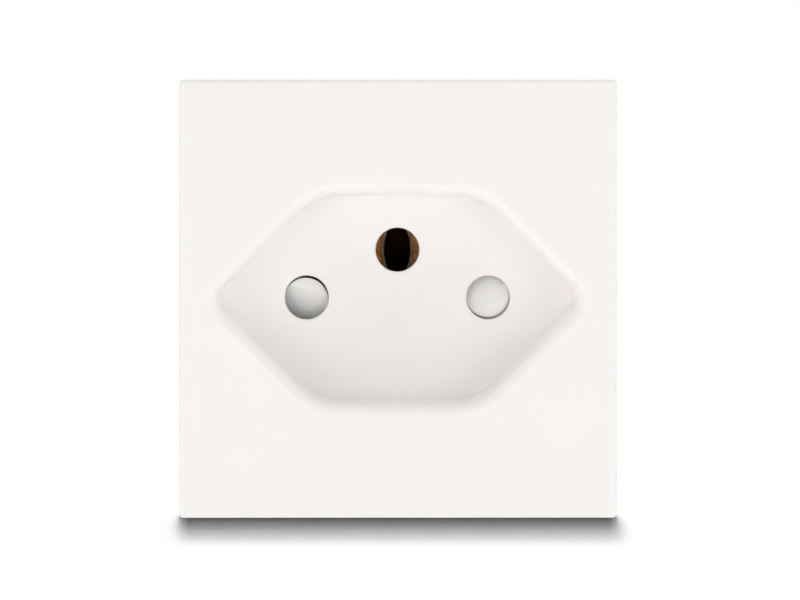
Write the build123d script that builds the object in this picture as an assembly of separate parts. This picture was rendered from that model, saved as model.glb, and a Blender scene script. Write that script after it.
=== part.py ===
from build123d import *
import math
import os

# An earthed wall socket module for round pins, in millimetres.
# X points right and Z up as seen from the front, Y points into the wall.
# The rear edge of the cover's skirt seats on the support frame at Y = 0.

# Pin pattern: two side pins on one line and the earth pin above it
pin_pitch = 19.0
earth_rise = 5.0
pin_hole_radius = 2.3
pin_length = 19.0
pin_hole_edge = 0.15

# Plug recess: a hexagon with slanted ends, measured at its floor
recess_depth = 9.5
recess_half_width = 18.35
recess_half_height = 10.7
recess_tip_radius = 1.8
recess_shoulder_radius = 6.4
recess_draft = 1.5
recess_mouth_radius = 1.0
seam_chamfer = 0.1

# Front cover: its face overlaps the body by the seat's width all round
seat_width = 1.5
cover_depth = 10.0
face_wall = 1.8
skirt_wall = 1.5
ledge_wall = 1.5
face_corner_radius = 0.45
face_edge_radius = 0.4
collar_wall = 1.0
spigot_length = 1.2
rib_width = 1.0
rib_depth = 4.0
rib_spread = 5.0
boss_radius = 2.2

# Body behind the seat: a box just wider than the recess wall
insert_clearance = 0.35
body_wall = 1.3
rear_wall = 2.0
body_corner_radius = 1.5
rear_chamfer = 0.8
inner_corner_radius = 0.5
assembly_gap = 0.05

# Pin plate, shutter chamber and its rear plate
pin_plate = 1.2
rim_wall = 1.0
shutter_room = 5.0
retainer_plate = 1.0
retainer_hole_radius = 2.6
earth_window_width = 7.2
earth_window_height = 5.6
earth_window_radius = 0.6

# Rotary shutter
pivot_drop = 3.3
pivot_radius = 1.2
running_clearance = 0.05
hub_radius = 2.3
sleeve_radius = 1.75
shutter_play = 0.2
arm_width = 3.2
arm_set_back = 0.6
arm_thickness = 1.8
neck_length = 4.7
neck_set_back = 1.5
neck_thickness = 2.4
neck_overlap = 1.4
pad_radius = 2.32
pad_draft = 3.0
rest_angle = 1.6
open_angle = 30.0
ramp_angle = 28.0
crease_lead = 1.06
stop_reach = 6.0
stop_radius = 0.8
stop_height = 2.4

# Shutter spring: a wire hairpin whose legs push the shutter's tail and a fixed anchor apart
wire_radius = 0.2
hairpin_radius = 2.05
hairpin_gap = 0.12
leg_length = 6.0
tail_length = 5.7
tail_width = 2.4
lug_radius = 0.6
lug_height = 0.8
lug_drop = 5.0

# Contacts: two leaves bent forward from a flat web with a tail to the terminal
brass_thickness = 0.7
web_thickness = 0.8
leaf_half_width = 2.3
leaf_curve_radius = 5.1
throat_half_gap = 1.35
root_half_gap = 2.45
lip_half_gap = 2.45
lip_length = 0.8
throat_bend_radius = 1.1
side_lip_set_back = 0.5
earth_lip_set_back = 2.9
pin_tip_room = 1.5
strap_bend_drop = 5.0
tail_half_width = 2.2
clip_thickness = 0.35
clip_half_width = 1.8
clip_gap = 0.06
clip_set_back = 0.8

# Terminals: a cage that rises along its screw and grips the wire under the tail
terminal_pitch = 11.4
terminal_inset = 4.1
cage_width = 6.4
cage_height = 5.0
cage_side_wall = 0.75
cage_front_wall = 0.9
cage_rear_wall = 1.8
cage_corner_radius = 0.6
wire_room = 3.1
cage_rear_room = 1.0
cage_travel = 2.2
cage_clearance = 0.6
screw_radius = 1.75
screw_head_radius = 2.6
screw_head_height = 2.4
screw_head_gap = 0.2
screw_neck = 0.6
slot_width = 0.8
slot_depth = 1.2
screw_tip_gap = 0.05
wire_hole_radius = 1.5
wire_hole_funnel = 0.6
access_hole_radius = 2.2
access_funnel = 0.5

# Contact chambers inside the body
barrier_clearance = 0.64
barrier_wall = 1.2
chamber_headroom = 1.7
post_width = 4.4
post_height = 3.2

# Housing screws at the upper corners and a hook at the lower edge
screw_inset = 2.8
column_radius = 3.0
housing_screw_radius = 1.1
housing_screw_length = 14.0
housing_head_radius = 2.0
housing_head_height = 1.6
housing_head_seat = 8.0
housing_screw_clearance = 0.15
counterbore_clearance = 0.3
thread_clearance = 0.02
pilot_relief = 1.0
hook_width = 7.0
hook_wall = 1.1
hook_reach = 5.2
hook_catch = 0.9
hook_land = 0.5
hook_back = 1.6
hook_clearance = 0.15

# Snap latches on the upper and lower walls
latch_spread = 9.0
latch_width = 5.0
latch_slot = 0.8
latch_grip = 2.6
latch_rise = 1.3
latch_land = 0.6
latch_ramp = 4.3
latch_end_gap = 0.4
latch_root = 12.0

# Stations along Y, front to back
seat_y = 0.0
face_y = seat_y - cover_depth
floor_y = face_y + recess_depth
collar_front_y = face_y + face_wall / 2
spigot_y = seat_y + spigot_length
plate_back_y = floor_y + pin_plate
retainer_y = plate_back_y + shutter_room
retainer_back_y = retainer_y + retainer_plate
pin_tip_y = floor_y + pin_length
web_y = pin_tip_y + pin_tip_room
web_back_y = web_y + web_thickness
clip_back_y = web_back_y + clip_thickness
wire_y = web_y - wire_room / 2
cage_front_y = web_y - wire_room - cage_front_wall
cage_back_y = web_back_y + cage_rear_room + cage_rear_wall
screw_head_y = cage_back_y + cage_travel + screw_neck
rear_inner_y = screw_head_y + screw_head_height + screw_head_gap
rear_y = rear_inner_y + rear_wall
rotor_front_y = plate_back_y + shutter_play
arm_front_y = rotor_front_y + arm_set_back
arm_back_y = arm_front_y + arm_thickness
neck_front_y = rotor_front_y + neck_set_back
rotor_back_y = retainer_y - shutter_play
hairpin_y = arm_back_y + wire_radius + hairpin_gap

# Places across X and Z
pin_x = pin_pitch / 2
recess_tip = recess_half_width + recess_tip_radius * (math.sqrt(2) - 1)
body_inner = recess_half_width + collar_wall + insert_clearance
body_size = 2 * (body_inner + body_wall)
face_size = body_size + 2 * seat_width
screw_corner = body_inner - screw_inset
terminal_z = terminal_inset - body_inner
clip_reach = root_half_gap + brass_thickness + clip_gap
barrier_inner = clip_reach + clip_thickness + barrier_clearance
chamber_outer = terminal_pitch + cage_width / 2 + cage_clearance
chamber_top = earth_rise + leaf_half_width + chamber_headroom
arm_reach = math.hypot(pin_x, pivot_drop)
arm_tilt = math.degrees(math.atan2(pivot_drop, pin_x))
lug_x = hairpin_radius + wire_radius + assembly_gap + lug_radius
lug_z = -pivot_drop - lug_drop
pin_places = {"left": (-pin_x, 0.0), "right": (pin_x, 0.0), "earth": (0.0, earth_rise)}
terminal_places = {"left": -terminal_pitch, "right": terminal_pitch, "earth": 0.0}


def prism(sketch, y_front, y_back, taper=0.0):
    """A sketch in X and Z carried from one depth to another along Y."""
    placed = Pos(0, y_front, 0) * (Plane.XZ * sketch)
    return extrude(placed, amount=y_back - y_front, dir=(0, 1, 0), taper=taper)


def rod(radius, y_front, y_back, x=0.0, z=0.0):
    """A round bar along Y."""
    return prism(Pos(x, z) * Circle(radius), y_front, y_back)


def block(width, height, y_front, y_back, x=0.0, z=0.0):
    """A rectangular bar along Y, centred on x and z."""
    return prism(Pos(x, z) * Rectangle(width, height), y_front, y_back)


def side_profile(points, width, x=0.0):
    """A polygon of (y, z) points carried across X, centred on x."""
    outline = Plane.YZ * Polygon(*points, align=None)
    return Pos(x, 0, 0) * extrude(outline, amount=width / 2, both=True)


def hexagon(margin=0.0):
    """The recess floor outline grown outward by a margin on every side."""
    tip = recess_tip + margin * math.sqrt(2)
    half = recess_half_height + margin
    shoulder = tip - half
    upper = [(-tip, 0), (-shoulder, half), (shoulder, half)]
    lower = [(tip, 0), (shoulder, -half), (-shoulder, -half)]
    outline = Polygon(*upper, *lower, align=None)
    tips = outline.vertices().sort_by(Axis.X)
    outline = fillet([tips[0], tips[-1]], recess_tip_radius + margin)
    levels = outline.vertices().group_by(Axis.Y)
    return fillet(levels[0] + levels[-1], recess_shoulder_radius + margin)


def beside_arm(reach, side, turn):
    """The point at a reach along the shutter's right arm and a distance above it, turned open by an angle."""
    a = math.radians(arm_tilt + rest_angle - turn)
    x = reach * math.cos(a) - side * math.sin(a)
    return x, reach * math.sin(a) + side * math.cos(a) - pivot_drop


def cover_shell():
    """The square face with its skirt, the seat ledge and the spigot that meets the body."""
    shell = prism(RectangleRounded(face_size, face_size, face_corner_radius), face_y, seat_y)
    rim = shell.faces().sort_by(Axis.Y)[0].outer_wire().edges()
    shell = fillet(rim, face_edge_radius)
    shell += prism(RectangleRounded(body_size, body_size, body_corner_radius), seat_y, spigot_y)
    room = face_size - 2 * skirt_wall
    shell -= prism(Rectangle(room, room), face_y + face_wall, seat_y - ledge_wall)
    opening = 2 * body_inner
    return shell - prism(
        RectangleRounded(opening, opening, inner_corner_radius), seat_y - ledge_wall, spigot_y
    )


def cover_hook():
    """The hook at the lower edge that catches in a window of the body."""
    inner = -body_inner + assembly_gap
    top = inner + hook_wall
    root = -body_inner - body_wall / 2
    catch_y = hook_reach - hook_back
    tip = inner - hook_catch
    outline = [
        (seat_y - ledge_wall, root),
        (seat_y - ledge_wall, top),
        (hook_reach, top),
        (hook_reach, inner),
        (catch_y + hook_land, tip),
        (catch_y, tip),
        (catch_y, inner),
        (spigot_y, inner),
        (spigot_y, root),
    ]
    return side_profile(outline, hook_width)


def cover_ribs():
    """Four short ribs that stiffen the collar against the skirt."""
    wall_middle = face_size / 2 - skirt_wall / 2
    length = wall_middle - recess_half_height - collar_wall / 2
    rib_back_y = face_y + face_wall + rib_depth
    rib = block(rib_width, length, collar_front_y, rib_back_y, rib_spread, wall_middle - length / 2)
    upper = rib + mirror(rib, Plane.YZ)
    return upper + mirror(upper, Plane.XY)


def front_cover():
    """The visible cover: face, recess wall, screw bosses, ribs and hook."""
    cover = cover_shell() + cover_ribs() + cover_hook()
    cover += prism(hexagon(collar_wall), floor_y, collar_front_y, taper=-recess_draft)
    cover -= prism(hexagon(), floor_y, face_y, taper=-recess_draft)
    mouth = cover.faces().sort_by(Axis.Y)[0].inner_wires()[0].edges()
    cover = fillet(mouth, recess_mouth_radius)
    collar_end = cover.faces().filter_by_position(Axis.Y, floor_y, floor_y).sort_by(SortBy.AREA)[-1]
    cover = chamfer(collar_end.inner_wires()[0].edges(), seam_chamfer)
    pilot_y = housing_head_seat - housing_screw_length - pilot_relief
    for x in (-screw_corner, screw_corner):
        cover += rod(boss_radius, collar_front_y, spigot_y, x, screw_corner)
        cover -= rod(housing_screw_radius + thread_clearance, pilot_y, spigot_y, x, screw_corner)
    return cover


def socket_insert():
    """The recess floor with its three pin holes, and the rim, pivot and stops of the shutter behind it."""
    insert = prism(hexagon(collar_wall), floor_y, plate_back_y)
    insert += prism(hexagon(collar_wall) - hexagon(collar_wall - rim_wall), plate_back_y, retainer_y)
    for x, z in pin_places.values():
        insert -= rod(pin_hole_radius, floor_y, plate_back_y, x, z)
    front = insert.faces().sort_by(Axis.Y)[0]
    insert = chamfer([w.edges()[0] for w in front.inner_wires()], pin_hole_edge)
    insert += rod(pivot_radius, plate_back_y, retainer_back_y, 0, -pivot_drop)
    side = arm_width / 2 + stop_radius + assembly_gap
    for turn, above in ((0, side), (open_angle, -side)):
        x, z = beside_arm(stop_reach, above, turn)
        insert += rod(stop_radius, plate_back_y, plate_back_y + stop_height, x, z)
    return insert


def shutter_arm():
    """One arm of the shutter along X from the pivot: a beam, a deeper neck and a round pad with a ramp.

    A pin that is pushed against the ramp moves the pad aside, away from the ramp's deep end.
    """
    beam_length = arm_reach - neck_length + neck_overlap
    arm = block(beam_length, arm_width, arm_front_y, arm_back_y, beam_length / 2)
    neck_back_y = neck_front_y + neck_thickness
    arm += block(neck_length, arm_width, neck_front_y, neck_back_y, arm_reach - neck_length / 2)
    arm += prism(Pos(arm_reach, 0) * Circle(pad_radius), rotor_front_y, rotor_back_y, pad_draft)
    far = 2 * pad_radius
    fall = (far + crease_lead) * math.tan(math.radians(ramp_angle))
    ramp = [
        (rotor_front_y - shutter_play, -crease_lead),
        (rotor_front_y, -crease_lead),
        (rotor_front_y + fall, far),
        (rotor_front_y - shutter_play, far),
    ]
    return arm - side_profile(ramp, 2 * (pad_radius + shutter_play), arm_reach)


def shutter_rotor():
    """Both arms on one hub that turns on the pivot, with a tail for the spring, against its rest stop."""
    arm = shutter_arm()
    hinge = Axis.Y
    rotor = arm.rotate(hinge, -arm_tilt) + arm.rotate(hinge, arm_tilt - 180)
    rotor += block(tail_width, tail_length, arm_front_y, arm_back_y, lug_x - lug_radius, -tail_length / 2)
    rotor += rod(hub_radius, rotor_front_y, arm_back_y)
    rotor += rod(sleeve_radius, arm_back_y, rotor_back_y)
    rotor += rod(lug_radius, arm_back_y, arm_back_y + lug_height, lug_x, -lug_drop)
    rotor -= rod(pivot_radius + running_clearance, rotor_front_y, rotor_back_y)
    return Pos(0, 0, -pivot_drop) * rotor.rotate(hinge, -rest_angle)


def shutter_spring():
    """A wire hairpin that bends over the shutter's sleeve and stands with one leg on its lug."""
    bend = CenterArc((0, 0), hairpin_radius, 0, 180)
    right_leg = Line((hairpin_radius, -leg_length), bend @ 0)
    left_leg = Line(bend @ 1, (-hairpin_radius, -leg_length))
    path = Plane.XZ * Wire([right_leg, bend, left_leg])
    section = Plane(path @ 0, z_dir=path % 0) * Circle(wire_radius)
    return Pos(0, hairpin_y, -pivot_drop) * sweep(section, path=path)


def shutter_retainer():
    """The plate that closes the shutter chamber, with pin holes and the spring's anchor."""
    plate = prism(hexagon(collar_wall), retainer_y, retainer_back_y)
    for x in (-pin_x, pin_x):
        plate -= rod(retainer_hole_radius, retainer_y, retainer_back_y, x)
    window = RectangleRounded(earth_window_width, earth_window_height, earth_window_radius)
    plate -= prism(Pos(0, earth_rise) * window, retainer_y, retainer_back_y)
    plate -= rod(pivot_radius + running_clearance, retainer_y, retainer_back_y, 0, -pivot_drop)
    return plate + rod(lug_radius, arm_back_y + hairpin_gap, retainer_y, -lug_x, lug_z)


def leaf(lip_y):
    """The right leaf of a contact at x = z = 0: a flared, pinched strip curved around the pin."""
    throat_y = lip_y + lip_length
    flare = math.atan2(lip_half_gap - throat_half_gap, lip_length)
    lip_end = (
        lip_half_gap + brass_thickness * math.cos(flare),
        lip_y + brass_thickness * math.sin(flare),
    )
    bend = (throat_half_gap + brass_thickness, throat_y + brass_thickness * math.tan(flare / 2))
    inner = [(root_half_gap, web_back_y), (throat_half_gap, throat_y), (lip_half_gap, lip_y)]
    outer = [lip_end, bend, (root_half_gap + brass_thickness, web_back_y)]
    strip = Polygon(*inner, *outer, align=None)
    strip = fillet(strip.vertices().sort_by_distance((throat_half_gap, throat_y))[0], throat_bend_radius)
    strip = fillet(strip.vertices().sort_by_distance(bend)[0], throat_bend_radius - brass_thickness)
    centre_x = throat_half_gap - leaf_curve_radius
    half_arc = math.degrees(math.asin(leaf_half_width / (leaf_curve_radius + brass_thickness)))
    axis = Axis((centre_x, 0, 0), (0, 1, 0))
    return revolve(strip, axis, revolution_arc=2 * half_arc).rotate(axis, -half_arc)


def strap(x, z, terminal_x):
    """The flat web behind the leaves and its tail down to the terminal."""
    half_web = root_half_gap + brass_thickness
    end_z = terminal_z - cage_height / 2
    turn_z = terminal_z + cage_height
    web = Pos(x, z) * Rectangle(2 * half_web, 2 * leaf_half_width)
    tail = Polygon(
        (x - tail_half_width, z),
        (x - tail_half_width, -strap_bend_drop),
        (terminal_x - tail_half_width, turn_z),
        (terminal_x - tail_half_width, end_z),
        (terminal_x + tail_half_width, end_z),
        (terminal_x + tail_half_width, turn_z),
        (x + tail_half_width, -strap_bend_drop),
        (x + tail_half_width, z),
        align=None,
    )
    return prism(web + tail, web_y, web_back_y)


def lip_depth(pole):
    """Where a contact's lips start: the earth contact reaches further forward and meets its pin first."""
    if pole == "earth":
        return plate_back_y + earth_lip_set_back
    return retainer_back_y + side_lip_set_back


def contact(pole):
    """One brass contact: two leaves, web and tail."""
    x, z = pin_places[pole]
    right = leaf(lip_depth(pole))
    leaves = right + mirror(right, Plane.YZ)
    return strap(x, z, terminal_places[pole]) + Pos(x, 0, z) * leaves


def contact_clip(pole):
    """The steel clip behind a contact that presses its two leaves together."""
    x, z = pin_places[pole]
    throat_y = lip_depth(pole) + lip_length
    end_y = throat_y + clip_set_back
    spread = (root_half_gap - throat_half_gap) * clip_set_back / (web_back_y - throat_y)
    wide = clip_reach
    narrow = throat_half_gap + brass_thickness + clip_gap + spread
    inner = [(0, web_back_y), (wide, web_back_y), (wide, web_y), (narrow, end_y)]
    outer = [(wide + clip_thickness, web_y), (wide + clip_thickness, clip_back_y), (0, clip_back_y)]
    half = Polygon(*inner, (narrow + clip_thickness, end_y), *outer, align=None)
    strip = half + mirror(half, Plane.YZ)
    return Pos(x, 0, z) * extrude(strip, amount=clip_half_width, both=True)


def clamp_cage(pole):
    """A terminal's cage, opened as far as it goes."""
    x = terminal_places[pole]
    outer = RectangleRounded(cage_width, cage_back_y - cage_front_y, cage_corner_radius)
    window_back_y = cage_back_y - cage_rear_wall
    window_front_y = cage_front_y + cage_front_wall
    window = Rectangle(cage_width - 2 * cage_side_wall, window_back_y - window_front_y)
    ring = Pos(0, (cage_front_y + cage_back_y) / 2) * outer
    ring -= Pos(0, (window_front_y + window_back_y) / 2) * window
    cage = Pos(x, 0, terminal_z) * extrude(ring, amount=cage_height / 2, both=True)
    return cage - rod(screw_radius + running_clearance, window_back_y, cage_back_y, x, terminal_z)


def slotted_screw(radius, head_radius, head_height, y_tip, y_head, x, z):
    """A screw along Y with its slotted head at the back."""
    head_top = y_head + head_height
    screw = rod(radius, y_tip, y_head, x, z) + rod(head_radius, y_head, head_top, x, z)
    return screw - block(2 * head_radius, slot_width, head_top - slot_depth, head_top, x, z)


def terminal_screw(pole):
    """The screw that bears on the contact's tail and pulls the cage back."""
    tip_y = web_back_y + screw_tip_gap
    x = terminal_places[pole]
    return slotted_screw(
        screw_radius, screw_head_radius, screw_head_height, tip_y, screw_head_y, x, terminal_z
    )


def housing_screw(side):
    """One of the two screws that hold the body to the cover."""
    return slotted_screw(
        housing_screw_radius,
        housing_head_radius,
        housing_head_height,
        housing_head_seat - housing_screw_length,
        housing_head_seat,
        side * screw_corner,
        screw_corner,
    )


def body_shell():
    """The box behind the seat, open at the front, with bevelled rear edges."""
    shell = prism(RectangleRounded(body_size, body_size, body_corner_radius), spigot_y, rear_y)
    shell = chamfer(shell.faces().sort_by(Axis.Y)[-1].outer_wire().edges(), rear_chamfer)
    room = RectangleRounded(2 * body_inner, 2 * body_inner, inner_corner_radius)
    return shell - prism(room, spigot_y, rear_inner_y)


def chambers():
    """The walls that keep the three contacts apart and carry the retainer plate."""
    width = 2 * (chamber_outer + barrier_wall)
    top = chamber_top + barrier_wall
    bottom = -body_inner
    walls = Pos(0, (top + bottom) / 2) * Rectangle(width, top - bottom)
    height = chamber_top - bottom
    side_width = chamber_outer - barrier_inner - barrier_wall
    side_x = (chamber_outer + barrier_inner + barrier_wall) / 2
    for x, w in ((-side_x, side_width), (0.0, 2 * barrier_inner), (side_x, side_width)):
        walls -= Pos(x, (chamber_top + bottom) / 2) * Rectangle(w, height)
    return prism(walls, retainer_back_y, rear_inner_y)


def latch_slots(x, side):
    """The U-shaped slot that frees one latch tongue, cut through the upper or lower wall."""
    free_y = latch_grip - latch_end_gap
    z = side * (body_inner + body_wall / 2)
    slot = block(latch_width + 2 * latch_slot, 2 * body_wall, free_y - latch_slot, latch_root, x, z)
    return slot - block(latch_width, 2 * body_wall, free_y, latch_root, x, z)


def latch_wedge(x, side):
    """The wedge on a latch tongue that snaps behind the support frame."""
    base = side * (body_inner + body_wall / 2)
    wall = side * body_size / 2
    top = side * (body_size / 2 + latch_rise)
    land_y = latch_grip + latch_land
    ramp_y = land_y + latch_ramp
    outline = [(latch_grip, base), (latch_grip, top), (land_y, top), (ramp_y, wall), (ramp_y, base)]
    return side_profile(outline, latch_width, x)


def contact_carrier():
    """The body: box, contact chambers, posts, screw columns, latches, wire and screwdriver holes."""
    body = body_shell() + chambers()
    for x, z in pin_places.values():
        body += block(post_width, post_height, clip_back_y, rear_inner_y, x, z)
    for side in (-1, 1):
        x = side * screw_corner
        body += rod(column_radius, spigot_y, rear_inner_y, x, screw_corner)
        body -= rod(housing_screw_radius + housing_screw_clearance, spigot_y, rear_y, x, screw_corner)
        body -= rod(housing_head_radius + counterbore_clearance, housing_head_seat, rear_y, x, screw_corner)
        for latch_x in (-latch_spread, latch_spread):
            body -= latch_slots(latch_x, side)
            body += latch_wedge(latch_x, side)
    window_y = hook_reach - hook_back - hook_clearance
    window_width = hook_width + 2 * hook_clearance
    window_z = -body_inner - body_wall / 2
    body -= block(window_width, 2 * body_wall, window_y, hook_reach + hook_clearance, 0, window_z)
    for x in terminal_places.values():
        body -= rod(access_hole_radius, rear_inner_y, rear_y, x, terminal_z)
        body -= Pos(x, rear_y, terminal_z) * Rot(-90, 0, 0) * access_cone()
        body -= Pos(x, wire_y, -body_inner - body_wall / 2) * Cylinder(wire_hole_radius, 2 * body_wall)
        body -= Pos(x, wire_y, -body_size / 2) * wire_cone()
    return body


def access_cone():
    """The bevel that leads a screwdriver into its hole."""
    return Cone(access_hole_radius, access_hole_radius + 2 * access_funnel, 2 * access_funnel)


def wire_cone():
    """The bevel that leads a stripped wire into its hole."""
    return Cone(wire_hole_radius + 2 * wire_hole_funnel, wire_hole_radius, 2 * wire_hole_funnel)


pieces = {
    "front_cover": front_cover(),
    "socket_insert": socket_insert(),
    "shutter_rotor": shutter_rotor(),
    "shutter_spring": shutter_spring(),
    "shutter_retainer": shutter_retainer(),
    "contact_carrier": contact_carrier(),
    "left_housing_screw": housing_screw(-1),
    "right_housing_screw": housing_screw(1),
}
for pole in pin_places:
    pieces[pole + "_contact"] = contact(pole)
    pieces[pole + "_contact_clip"] = contact_clip(pole)
    pieces[pole + "_clamp_cage"] = clamp_cage(pole)
    pieces[pole + "_terminal_screw"] = terminal_screw(pole)

os.makedirs("parts", exist_ok=True)
for name, shape in pieces.items():
    export_step(shape, f"parts/{name}.step")
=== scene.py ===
import math

import bpy
import numpy as np
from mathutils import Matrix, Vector


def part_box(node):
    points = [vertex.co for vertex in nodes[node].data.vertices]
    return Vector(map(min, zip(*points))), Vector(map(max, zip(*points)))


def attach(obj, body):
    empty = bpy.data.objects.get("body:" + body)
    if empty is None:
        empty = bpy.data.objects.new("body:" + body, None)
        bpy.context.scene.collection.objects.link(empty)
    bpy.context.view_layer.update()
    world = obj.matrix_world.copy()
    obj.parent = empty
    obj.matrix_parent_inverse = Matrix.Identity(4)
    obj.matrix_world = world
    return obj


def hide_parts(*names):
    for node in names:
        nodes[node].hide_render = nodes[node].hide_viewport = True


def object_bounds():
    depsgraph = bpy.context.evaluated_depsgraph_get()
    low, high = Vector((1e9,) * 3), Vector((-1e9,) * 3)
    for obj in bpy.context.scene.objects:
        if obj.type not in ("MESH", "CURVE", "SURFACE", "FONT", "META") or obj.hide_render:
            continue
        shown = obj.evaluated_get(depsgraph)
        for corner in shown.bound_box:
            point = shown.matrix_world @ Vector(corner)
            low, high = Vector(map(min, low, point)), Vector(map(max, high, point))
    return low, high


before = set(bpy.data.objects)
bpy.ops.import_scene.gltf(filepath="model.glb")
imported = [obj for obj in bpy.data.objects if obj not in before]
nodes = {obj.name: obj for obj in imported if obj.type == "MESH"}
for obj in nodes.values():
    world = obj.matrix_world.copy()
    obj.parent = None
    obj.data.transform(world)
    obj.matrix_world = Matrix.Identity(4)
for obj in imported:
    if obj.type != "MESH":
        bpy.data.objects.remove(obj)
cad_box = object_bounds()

# An earthed wall socket module in metres: X right, Z up, Y into the wall, seat plane at Y = 0.
MM = 0.001
scene = bpy.context.scene
face_y = cad_box[0].y

# Camera: in front of the face, a little above its middle and to the left
image_width = 800
sensor_width = 36.0
camera_distance = 500 * MM
camera_left = 3.5 * MM
camera_rise = 7.7 * MM
face_pixels_per_mm = 9.745
aim_right = 0.195 * MM
aim_down = 0.113 * MM

# Light levels: a value of 1 is plain white on a white surface that faces the lamp
tent_above = 0.645
tent_overhead = 0.3
tent_below = 0.52
tent_behind = 0.85
white_level = 1.0
diffuse_bounces = 12

# Where the parts of the tent set in: the Z, or for the last two the Y, of a direction of length 1
below_ends = (-0.95, -0.55)
above_ends = (-0.3, 0.3)
overhead_ends = (0.5, 0.9)
opening_ends = (-0.98, -0.94)
behind_ends = (-0.1, 0.3)

# Mirrored pairs of lamps: azimuth from the front and elevation in degrees, size in metres, level
lamp_distance = 2.0
lamp_pairs = (
    (25, -2, 0.60, 0.098),
    (22, -25, 0.80, 0.098),
    (62, 0, 1.00, 0.082),
    (60, -35, 1.00, 0.312),
)

# Floor: just under the cover, seen white, and bouncing less light than it shows
floor_z = cad_box[0].z - 0.01 * MM
floor_half_width = 0.6
floor_front = -0.5
floor_back = 0.9
floor_colour = 0.09
floor_white_radii = (0.10, 0.17)

# Shadow: how far aside the floor turns white and how much that narrows toward the front,
# and the rear lamps' elevation and half height in degrees and level
shadow_ends = (21.85 * MM, 24.85 * MM)
shadow_lean = 0.045
shadow_lamp_distance = 6.0
shadow_lamp_width = 0.4
shadow_lamps = ((50, 5.5, 5.7), (63, 8, 4.4), (80.5, 9.5, 2.65))

# Mouldings: colour, roughness and the shade of their clouds
cover_white = ((0.932, 0.906, 0.875), 0.36, 0.985)
# The pin plate's white is lighter than the cover's: partly the plate's own white, partly painted light that
# brightens the recess floor
pin_plate_white_painted_light = ((0.966, 0.952, 0.940), 0.38, 0.985)
shutter_white = ((0.97, 0.965, 0.955), 0.42, 0.985)
inner_plate_dark = ((0.035, 0.033, 0.030), 0.5, 0.8)
body_grey = ((0.66, 0.66, 0.64), 0.52, 0.96)

# Metals: colour and the colour of their patches
brass_colours = ((0.88, 0.48, 0.19), (0.44, 0.20, 0.065))
steel_colours = ((0.52, 0.51, 0.50), (0.40, 0.38, 0.37))
zinc_colours = ((0.66, 0.67, 0.66), (0.56, 0.54, 0.48))

# Depths between which the earth contact's brass takes a painted highlight, a thin bright band at the gap's
# edge, and then painted shade, darker further into the hole
painted_highlight_y = (4.28 * MM, 4.35 * MM)
painted_highlight_colour = (1.0, 0.92, 0.80)
painted_shade_y = (4.45 * MM, 9 * MM)
painted_shade_colour = (0.10, 0.05, 0.02)

# Right shutter pad at rest: where it stands on its arm, and the facing and lip seen on it
pivot_z = -3.3 * MM
pad_reach = 10.057 * MM
arm_rise = math.radians(20.757)
pad_front_y = 0.9 * MM
pad_radius = 2.26 * MM
pad_crease = 1.06 * MM
pad_slope = math.tan(math.radians(28))
facing_slope = math.tan(math.radians(13))
facing_skin = 0.02 * MM
facing_overlap = 0.2 * MM
facing_swing = 0.49 * math.pi
lip_inner = 2.1 * MM
lip_outer = 2.75 * MM
lip_deep_y = 1.7 * MM
lip_shallow_y = 0.95 * MM
lip_back_y = 2.1 * MM
lip_half_turn = 100

# Screws
terminal_shank_radius = 1.75 * MM
terminal_head_height = 2.4 * MM
terminal_pitch = 0.7 * MM
housing_shank_radius = 1.1 * MM
housing_head_height = 1.6 * MM
housing_pitch = 0.9 * MM
slot_width = 0.8 * MM
slot_depth = 1.2 * MM
thread_share = 0.55
head_chamfer = 0.25 * MM
shell_overlap = 0.03 * MM


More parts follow.
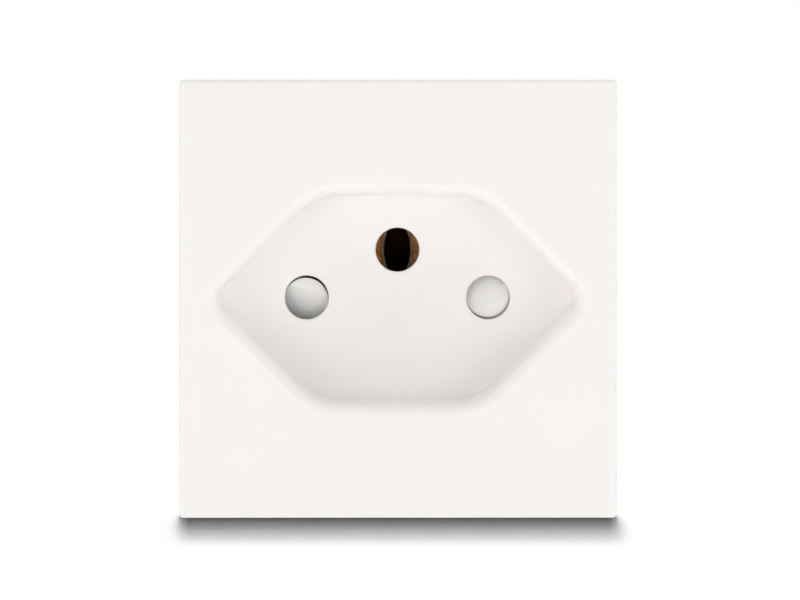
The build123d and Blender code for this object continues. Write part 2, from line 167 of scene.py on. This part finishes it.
class Finish:
    """One node material: a Principled shader and the patterns that vary it over Object coordinates."""

    noise_ends = (0.3, 0.7)

    def __init__(self, name, colour, roughness, metallic=0.0):
        self.material = bpy.data.materials.new(name)
        self.material.use_nodes = True
        self.tree = self.material.node_tree
        self.shader = self.tree.nodes["Principled BSDF"]
        self.shader.inputs["Base Color"].default_value = (*colour, 1)
        self.shader.inputs["Roughness"].default_value = roughness
        self.shader.inputs["Metallic"].default_value = metallic
        self.colour = colour
        self.roughness = roughness
        self.place = self.new("ShaderNodeTexCoord").outputs["Object"]

    def new(self, kind, **settings):
        """A node of one kind with its settings."""
        node = self.tree.nodes.new(kind)
        for key, value in settings.items():
            setattr(node, key, value)
        return node

    def link(self, source, target):
        self.tree.links.new(source, target)

    def axes(self):
        """The place's X, Y and Z."""
        split = self.new("ShaderNodeSeparateXYZ")
        self.link(self.place, split.inputs["Vector"])
        return split.outputs

    def noise(self, size, detail=2.0, stretch=(1, 1, 1)):
        """Noise whose features are about one size across, drawn out along an axis by its stretch."""
        mapping = self.new("ShaderNodeMapping")
        mapping.inputs["Scale"].default_value = [1 / s for s in stretch]
        self.link(self.place, mapping.inputs["Vector"])
        noise = self.new("ShaderNodeTexNoise")
        noise.inputs["Scale"].default_value = 1 / size
        noise.inputs["Detail"].default_value = detail
        self.link(mapping.outputs["Vector"], noise.inputs["Vector"])
        return noise.outputs["Fac"]

    def spread(self, source, low, high):
        """The middle part of a noise carried to a range."""
        node = self.new("ShaderNodeMapRange")
        for name, value in zip(("From Min", "From Max", "To Min", "To Max"), (*self.noise_ends, low, high)):
            node.inputs[name].default_value = value
        self.link(source, node.inputs["Value"])
        return node.outputs["Result"]

    def mottle(self, source, other):
        """The base colour passing to another colour with a pattern."""
        node = self.new("ShaderNodeMix", data_type="RGBA")
        node.inputs["A"].default_value = (*self.colour, 1)
        node.inputs["B"].default_value = (*other, 1)
        self.link(self.spread(source, 0.0, 1.0), node.inputs["Factor"])
        self.link(node.outputs["Result"], self.shader.inputs["Base Color"])

    def deepen(self, ends, other):
        """The colour passing to another between two depths along Y."""
        node = self.new("ShaderNodeMix", data_type="RGBA")
        node.inputs["B"].default_value = (*other, 1)
        self.link(self.shader.inputs["Base Color"].links[0].from_socket, node.inputs["A"])
        self.link(carried(self.tree, self.axes()["Y"], ends, (0, 1)), node.inputs["Factor"])
        self.link(node.outputs["Result"], self.shader.inputs["Base Color"])

    def vary_roughness(self, source, change):
        """The roughness moving up and down with a pattern."""
        varied = self.spread(source, self.roughness - change, self.roughness + change)
        self.link(varied, self.shader.inputs["Roughness"])

    def relief(self, *layers):
        """Bump from several patterns, each with its height in metres."""
        normal = None
        for source, height in layers:
            bump = self.new("ShaderNodeBump")
            bump.inputs["Distance"].default_value = height
            self.link(source, bump.inputs["Height"])
            if normal is not None:
                self.link(normal, bump.inputs["Normal"])
            normal = bump.outputs["Normal"]
        self.link(normal, self.shader.inputs["Normal"])


def moulded_white(name, colour, roughness, shade):
    """Satin white moulding: faint cloudiness, a fine grain and a slight waviness of the skin."""
    finish = Finish(name, colour, roughness)
    finish.shader.inputs["Specular IOR Level"].default_value = 0.45
    finish.mottle(finish.noise(9 * MM, 3.0), [c * shade for c in colour])
    finish.vary_roughness(finish.noise(1.2 * MM, 3.0), 0.05)
    finish.relief((finish.noise(3.5 * MM), 0.004 * MM), (finish.noise(0.22 * MM, 3.0), 0.0012 * MM))
    return finish.material


def moulded_matte(name, colour, roughness, shade):
    """Plain matte moulding with a spark-eroded grain and faint flow marks along its draw."""
    finish = Finish(name, colour, roughness)
    finish.shader.inputs["Specular IOR Level"].default_value = 0.4
    finish.mottle(finish.noise(5 * MM, 4.0, (1, 3, 1)), [c * shade for c in colour])
    finish.vary_roughness(finish.noise(0.8 * MM, 3.0), 0.08)
    flow_marks = finish.noise(2.5 * MM, 2.0, (1, 4, 1))
    grain = finish.noise(0.16 * MM, 4.0)
    finish.relief((flow_marks, 0.006 * MM), (grain, 0.006 * MM))
    return finish.material


def stamped_brass(name):
    """Rolled brass strip: drawn lines along Z, darker tarnish in patches."""
    colour, patches = brass_colours
    finish = Finish(name, colour, 0.52, 1.0)
    finish.mottle(finish.noise(0.55 * MM, 5.0), patches)
    finish.vary_roughness(finish.noise(0.5 * MM, 4.0), 0.10)
    finish.relief((finish.noise(0.10 * MM, 2.0, (1, 1, 12)), 0.003 * MM))
    return finish


def brass_painted_highlight_and_shade():
    """Brass with a painted highlight in a thin band at the edge of the gap, and painted shade that darkens it
    further into the hole.
    """
    finish = stamped_brass("brass_painted_highlight_and_shade")
    # Painted highlight: a thin bright band of colour where the gap's edge is seen
    finish.deepen(painted_highlight_y, painted_highlight_colour)
    # Painted shade: the brass darkened deeper in the hole, where little light reaches
    finish.deepen(painted_shade_y, painted_shade_colour)
    return finish


def drawn_spring_steel():
    """Bright drawn steel with fine lines and a slight blue-brown temper."""
    colour, temper = steel_colours
    finish = Finish("drawn_spring_steel", colour, 0.30, 1.0)
    finish.mottle(finish.noise(1.5 * MM, 3.0), temper)
    finish.vary_roughness(finish.noise(0.4 * MM, 3.0), 0.08)
    finish.relief((finish.noise(0.07 * MM, 2.0, (1, 8, 8)), 0.002 * MM))
    return finish.material


def zinc_plate():
    """Zinc plating: pale grey with a faint warm cast in patches and a fine crystalline grain."""
    colour, cast = zinc_colours
    finish = Finish("zinc_plate", colour, 0.32, 1.0)
    finish.mottle(finish.noise(1.2 * MM, 4.0), cast)
    finish.vary_roughness(finish.noise(0.3 * MM, 4.0), 0.10)
    finish.relief((finish.noise(0.09 * MM, 3.0), 0.003 * MM))
    return finish.material


def dress(material, *names):
    """Puts a material on CAD nodes."""
    for name in names:
        nodes[name].data.materials.clear()
        nodes[name].data.materials.append(material)


def closed_mesh(name, shells, material):
    """A mesh object from closed shells, each a pair of points and faces."""
    points = []
    faces = []
    for shell_points, shell_faces in shells:
        start = sum(map(len, points))
        faces += [[start + i for i in face] for face in shell_faces]
        points.append(shell_points)
    mesh = bpy.data.meshes.new(name)
    mesh.from_pydata(np.concatenate(points).tolist(), [], faces)
    mesh.materials.append(material)
    piece = bpy.data.objects.new(name, mesh)
    scene.collection.objects.link(piece)
    return piece


def tube_faces(rows, columns):
    """Faces of a grid that closes on itself across its columns, with a lid at each end."""
    row, column = np.meshgrid(np.arange(rows - 1), np.arange(columns), indexing="ij")
    here = row * columns
    above = here + columns
    after = (column + 1) % columns
    sides = np.stack([here + column, here + after, above + after, above + column], -1).reshape(-1, 4).tolist()
    first = list(range(columns))[::-1]
    last = list(range((rows - 1) * columns, rows * columns))
    return sides + [first, last]


def threaded_shank(x, z, tip_y, head_y, top_y, radius, head_radius, pitch):
    """A turned screw along Y: radius against depth, less a helical groove of triangular section.

    The groove's depth at a point is a triangle wave of (depth / pitch - angle / turn), faded at both ends.
    """
    columns = 40
    per_turn = 10
    along = np.linspace(tip_y, head_y, int(per_turn * (head_y - tip_y) / pitch))
    angle = np.linspace(0, 2 * np.pi, columns, endpoint=False)
    phase = (along[:, None] / pitch - angle[None, :] / (2 * np.pi)) % 1
    groove = np.abs(2 * phase - 1)
    fade = np.clip(np.minimum(along - tip_y, head_y - along) / pitch, 0, 1)
    depth = thread_share * pitch
    shank = radius - depth * fade[:, None] * groove
    taper = np.clip((along - tip_y) / pitch, 0, 1)
    shank -= (depth * (1 - taper))[:, None]
    head = np.array([head_radius - head_chamfer, head_radius, head_radius])[:, None] * np.ones(columns)
    radii = np.concatenate([shank, head])
    depths = np.concatenate([along, [head_y, head_y + head_chamfer, top_y]])
    across = x + radii * np.cos(angle)
    up = z + radii * np.sin(angle)
    points = np.stack([across, np.repeat(depths[:, None], columns, 1), up], -1)
    return points.reshape(-1, 3), [f[::-1] for f in tube_faces(len(depths), columns)]


def half_head(x, z, floor_y, top_y, head_radius, side):
    """One half of a slotted head: a D outline carried along Y, drawn in at its top edge."""
    columns = 24

    def outline(inset):
        flat = slot_width / 2 + inset / 2
        reach = head_radius - inset
        swing = math.acos(flat / reach)
        angle = np.linspace(-swing, swing, columns)
        return np.stack([reach * np.sin(angle), reach * np.cos(angle)])

    rows = [(floor_y - shell_overlap, 0.0), (top_y - head_chamfer, 0.0), (top_y, head_chamfer)]
    points = []
    for depth, inset in rows:
        across, out = outline(inset)
        points.append(np.stack([x + side * across, np.full(columns, depth), z + side * out], 1))
    return np.concatenate(points), tube_faces(len(rows), columns)


def slotted_screw(node, body, shank_radius, head_height, pitch, material):
    """The threaded screw for a CAD node: shank and lower head, and the two halves beside its slot."""
    start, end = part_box(node)
    x = (start.x + end.x) / 2
    z = (start.z + end.z) / 2
    head_radius = (end.x - start.x) / 2
    head_y = end.y - head_height
    slot_floor = end.y - slot_depth
    shells = [threaded_shank(x, z, start.y, head_y, slot_floor, shank_radius, head_radius, pitch)]
    for side in (-1, 1):
        shells.append(half_head(x, z, slot_floor, end.y, head_radius, side))
    piece = closed_mesh(node.replace("screw", "screw_threaded"), shells, material)
    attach(piece, body)
    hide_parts(node)


def on_arm(along, above, depth):
    """Points given by the distance along the shutter's right arm, the distance above it and the depth."""
    along = along + pad_reach
    x = along * math.cos(arm_rise) - above * math.sin(arm_rise)
    z = along * math.sin(arm_rise) + above * math.cos(arm_rise) + pivot_z
    return np.stack(np.broadcast_arrays(x, depth, z), -1).reshape(-1, 3)


def pad_facing():
    """A disc cut in strips along the pad's crease: its depth grows with the height above the crease."""
    strips = 33
    swing = np.linspace(-facing_swing, facing_swing, strips)
    above = np.sort(np.append(pad_radius * np.sin(swing), -pad_crease))[:, None]
    half = np.sqrt(pad_radius**2 - above**2)
    rise = np.clip(above + pad_crease, 0, None)
    front = pad_front_y - facing_skin + rise * facing_slope
    back = pad_front_y + facing_overlap + rise * pad_slope
    along = np.concatenate([-half, half, half, -half], 1)
    depth = np.concatenate([front, front, back, back], 1)
    return on_arm(along, above, depth), tube_faces(len(above), 4)


def pad_lip():
    """A rectangle carried round part of a circle under the pad's lower edge, its front rising as it goes."""
    turns = 40
    angle = np.radians(np.linspace(-90 - lip_half_turn, -90 + lip_half_turn, turns))[:, None]
    radius = np.array([lip_inner, lip_outer, lip_outer, lip_inner])
    front = np.linspace(lip_deep_y, lip_shallow_y, turns)[:, None]
    back = np.full_like(front, lip_back_y)
    depth = np.concatenate([front, front, back, back], 1)
    return on_arm(radius * np.cos(angle), radius * np.sin(angle), depth), tube_faces(turns, 4)


def face_pad(material):
    """The right pad's shallower face and the narrow lip that shows beside it."""
    piece = closed_mesh("right_pad_face", [pad_facing(), pad_lip()], material)
    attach(piece, "shutter")


def carried(tree, source, ends, values):
    """A number carried smoothly from one range to another, and level beyond both ends."""
    node = tree.nodes.new("ShaderNodeMapRange")
    node.interpolation_type = "SMOOTHSTEP"
    for name, value in zip(("From Min", "From Max", "To Min", "To Max"), (*ends, *values)):
        node.inputs[name].default_value = value
    tree.links.new(source, node.inputs["Value"])
    return node.outputs["Result"]


def joined(tree, operation, first, second):
    """Two factors added or multiplied, at most 1."""
    node = tree.nodes.new("ShaderNodeMath")
    node.operation = operation
    node.use_clamp = True
    tree.links.new(first, node.inputs[0])
    tree.links.new(second, node.inputs[1])
    return node.outputs["Value"]


def passed(tree, source, level, factor):
    """A number passing to a level with a factor."""
    node = tree.nodes.new("ShaderNodeMix")
    node.inputs["B"].default_value = level
    tree.links.new(source, node.inputs["A"])
    tree.links.new(factor, node.inputs["Factor"])
    return node.outputs["Result"]


def white_to_camera(tree, gloss_share):
    """A factor that is 1 on rays from the camera and through glass, and a share on those from gloss."""
    path = tree.nodes.new("ShaderNodeLightPath")
    gloss = joined(tree, "MULTIPLY", path.outputs["Is Glossy Ray"], gloss_share)
    straight = joined(tree, "ADD", path.outputs["Is Camera Ray"], path.outputs["Is Transmission Ray"])
    return joined(tree, "ADD", straight, gloss)


def make_world():
    """A white light tent, lit above, straight below and behind, with a dark opening around the camera."""
    world = bpy.data.worlds.new("light_tent")
    scene.world = world
    world.use_nodes = True
    tree = world.node_tree
    background = tree.nodes["Background"]
    background.inputs["Color"].default_value = (1, 1, 1, 1)
    ray = tree.nodes.new("ShaderNodeSeparateXYZ")
    tree.links.new(tree.nodes.new("ShaderNodeTexCoord").outputs["Generated"], ray.inputs["Vector"])
    below = carried(tree, ray.outputs["Z"], below_ends, (tent_below, 0))
    above = carried(tree, ray.outputs["Z"], above_ends, (0, tent_above))
    overhead = carried(tree, ray.outputs["Z"], overhead_ends, (0, tent_overhead))
    cloth = joined(tree, "ADD", below, joined(tree, "ADD", above, overhead))
    opening = carried(tree, ray.outputs["Y"], opening_ends, (0, 1))
    behind = carried(tree, ray.outputs["Y"], behind_ends, (0, 1))
    around = passed(tree, joined(tree, "MULTIPLY", cloth, opening), tent_behind, behind)
    level = passed(tree, around, white_level, white_to_camera(tree, behind))
    tree.links.new(level, background.inputs["Strength"])


def floor_whiteness(finish):
    """A factor that grows to 1 far from the middle, and aside by the distance |X| less a share of Y."""
    radius = finish.new("ShaderNodeVectorMath", operation="LENGTH")
    finish.link(finish.place, radius.inputs[0])
    far = carried(finish.tree, radius.outputs["Value"], floor_white_radii, (0, 1))
    axes = finish.axes()
    aside = finish.new("ShaderNodeMath", operation="ABSOLUTE")
    finish.link(axes["X"], aside.inputs[0])
    lean = finish.new("ShaderNodeMath", operation="MULTIPLY_ADD")
    lean.inputs[1].default_value = -shadow_lean
    finish.link(axes["Y"], lean.inputs[0])
    finish.link(aside.outputs["Value"], lean.inputs[2])
    beside = carried(finish.tree, lean.outputs["Value"], shadow_ends, (0, 1))
    return joined(finish.tree, "ADD", far, beside)


def floor_material():
    """A matt floor near the object that turns to even white further out, and is clear from underneath."""
    finish = Finish("floor_paper", (floor_colour,) * 3, 1.0)
    matt = finish.new("ShaderNodeBsdfDiffuse")
    matt.inputs["Color"].default_value = (floor_colour, floor_colour, floor_colour, 1)
    white = finish.new("ShaderNodeEmission")
    white.inputs["Strength"].default_value = white_level
    paper = finish.new("ShaderNodeMixShader")
    finish.link(floor_whiteness(finish), paper.inputs["Fac"])
    finish.link(matt.outputs["BSDF"], paper.inputs[1])
    finish.link(white.outputs["Emission"], paper.inputs[2])
    top = finish.new("ShaderNodeMixShader")
    finish.link(finish.new("ShaderNodeNewGeometry").outputs["Backfacing"], top.inputs["Fac"])
    finish.link(paper.outputs["Shader"], top.inputs[1])
    finish.link(finish.new("ShaderNodeBsdfTransparent").outputs["BSDF"], top.inputs[2])
    finish.link(top.outputs["Shader"], finish.tree.nodes["Material Output"].inputs["Surface"])
    finish.tree.nodes.remove(finish.shader)
    return finish.material


def make_floor():
    """The floor that the cover's lower edge stands on. It takes shadows but blocks no light from below."""
    corners = [
        (-floor_half_width, floor_front, floor_z),
        (floor_half_width, floor_front, floor_z),
        (floor_half_width, floor_back, floor_z),
        (-floor_half_width, floor_back, floor_z),
    ]
    mesh = bpy.data.meshes.new("floor")
    mesh.from_pydata(corners, [], [(0, 1, 2, 3)])
    mesh.materials.append(floor_material())
    floor = bpy.data.objects.new("floor", mesh)
    scene.collection.objects.link(floor)
    floor.visible_shadow = False
    floor.visible_diffuse = False
    return floor


def softbox(name, place, width, height, level):
    """A rectangular lamp aimed at the origin, as strong as a level needs at its distance."""
    lamp = bpy.data.lights.new(name, "AREA")
    lamp.shape = "RECTANGLE"
    lamp.size = width
    lamp.size_y = height
    lamp.energy = level * math.pi**2 * place.length_squared
    carrier = bpy.data.objects.new(name, lamp)
    scene.collection.objects.link(carrier)
    carrier.location = place
    carrier.rotation_euler = place.to_track_quat("Z", "Y").to_euler()
    carrier.visible_camera = False
    return carrier


def make_lights():
    """Pairs of broad lamps, mirrored left and right, clear of the camera's line of sight."""
    for azimuth, elevation, size, level in lamp_pairs:
        turn = math.radians(azimuth)
        rise = math.radians(elevation)
        front = -math.cos(turn) * math.cos(rise)
        for side in (-1, 1):
            aside = side * math.sin(turn) * math.cos(rise)
            place = Vector((aside, front, math.sin(rise))) * lamp_distance
            softbox(f"softbox_{azimuth}_{elevation}_{side}", place, size, size, level)


def light_floor(floor):
    """Far lamps behind and above that light the floor alone, so that the object's shadow falls forward."""
    only_floor = bpy.data.collections.new("lit_by_rear_lamps")
    only_floor.objects.link(floor)
    for elevation, spread, level in shadow_lamps:
        angle = math.radians(elevation)
        place = Vector((0, math.cos(angle), math.sin(angle))) * shadow_lamp_distance
        height = 2 * shadow_lamp_distance * math.tan(math.radians(spread))
        lamp = softbox(f"rear_lamp_{elevation}", place, shadow_lamp_width, height, level)
        lamp.light_linking.receiver_collection = only_floor


def make_camera():
    """The camera, aimed so that the face fills the picture as it should."""
    lens = bpy.data.cameras.new("camera")
    lens.sensor_fit = "HORIZONTAL"
    lens.sensor_width = sensor_width
    focal_pixels = face_pixels_per_mm * camera_distance / MM
    lens.lens = sensor_width * focal_pixels / image_width
    lens.clip_start = 10 * MM
    camera = bpy.data.objects.new("camera", lens)
    scene.collection.objects.link(camera)
    camera.location = (-camera_left, face_y - camera_distance, camera_rise)
    target = Vector((aim_right, face_y, -aim_down))
    camera.rotation_euler = (target - camera.location).to_track_quat("-Z", "Y").to_euler()
    scene.camera = camera


def dress_nodes():
    """Each CAD node in its finish, with the screws' threads and the right pad's face."""
    dress(moulded_white("cover_white", *cover_white), "front_cover")
    # The pin plate's lighter white carries painted light on the recess floor
    dress(moulded_white("pin_plate_white_painted_light", *pin_plate_white_painted_light), "socket_insert")
    shutter = moulded_matte("shutter_white", *shutter_white)
    dress(shutter, "shutter_rotor")
    face_pad(shutter)
    dress(moulded_matte("inner_plate_dark", *inner_plate_dark), "shutter_retainer")
    dress(moulded_matte("body_grey", *body_grey), "contact_carrier")
    dress(stamped_brass("stamped_brass").material, "left_contact", "right_contact")
    dress(brass_painted_highlight_and_shade().material, "earth_contact")
    spring = drawn_spring_steel()
    zinc = zinc_plate()
    dress(spring, "shutter_spring")
    terminal = (terminal_shank_radius, terminal_head_height, terminal_pitch, zinc)
    housing = (housing_shank_radius, housing_head_height, housing_pitch, zinc)
    for pole in ("left", "right", "earth"):
        dress(spring, pole + "_contact_clip")
        dress(zinc, pole + "_clamp_cage", pole + "_terminal_screw")
        slotted_screw(pole + "_terminal_screw", pole + "_screw", *terminal)
    for side in ("left", "right"):
        dress(zinc, side + "_housing_screw")
        slotted_screw(side + "_housing_screw", "housing", *housing)


dress_nodes()
make_world()
light_floor(make_floor())
make_lights()
make_camera()
scene.view_settings.view_transform = "Standard"
scene.cycles.diffuse_bounces = diffuse_bounces
